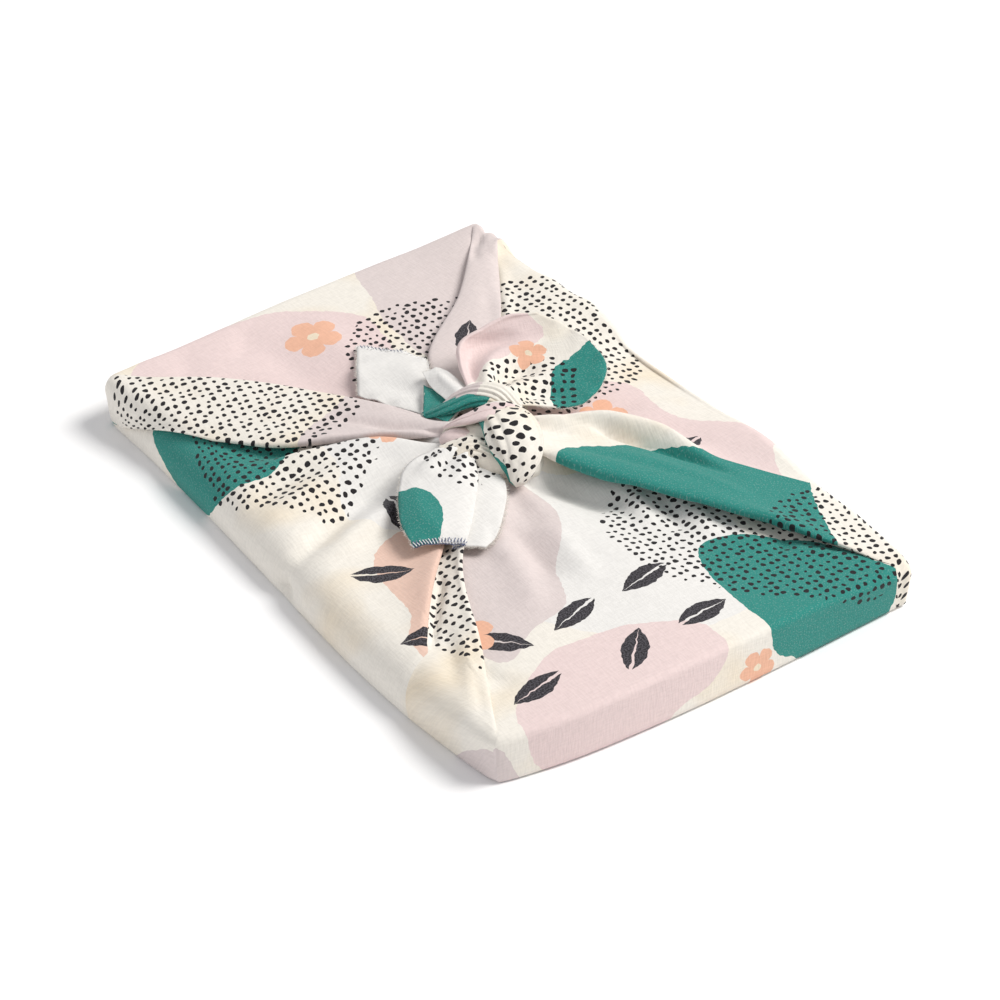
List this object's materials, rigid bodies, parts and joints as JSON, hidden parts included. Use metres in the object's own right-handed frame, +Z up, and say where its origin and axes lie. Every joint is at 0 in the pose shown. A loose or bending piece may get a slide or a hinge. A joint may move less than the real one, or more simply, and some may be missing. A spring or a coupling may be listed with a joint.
{
  "type": "furoshiki wrap",
  "caption": "Square cotton cloth drawn up over a flat rectangular parcel and tied by its four corners in a knot on top, with loose free ends.",
  "frame": {"origin": "centre of the bounding box's base, on the surface that the parcel lies on", "axes": "+X along the parcel's long side, +Y along its short side, +Z up out of the knotted face"},
  "size_m": [0.3142, 0.215, 0.0522],
  "materials": {
    "printed_cotton": "matt plain-weave cotton, printed on one side"
  },
  "bodies": {
    "root": {"furoshiki_cloth": "printed_cotton"}
  },
  "joints": []
}
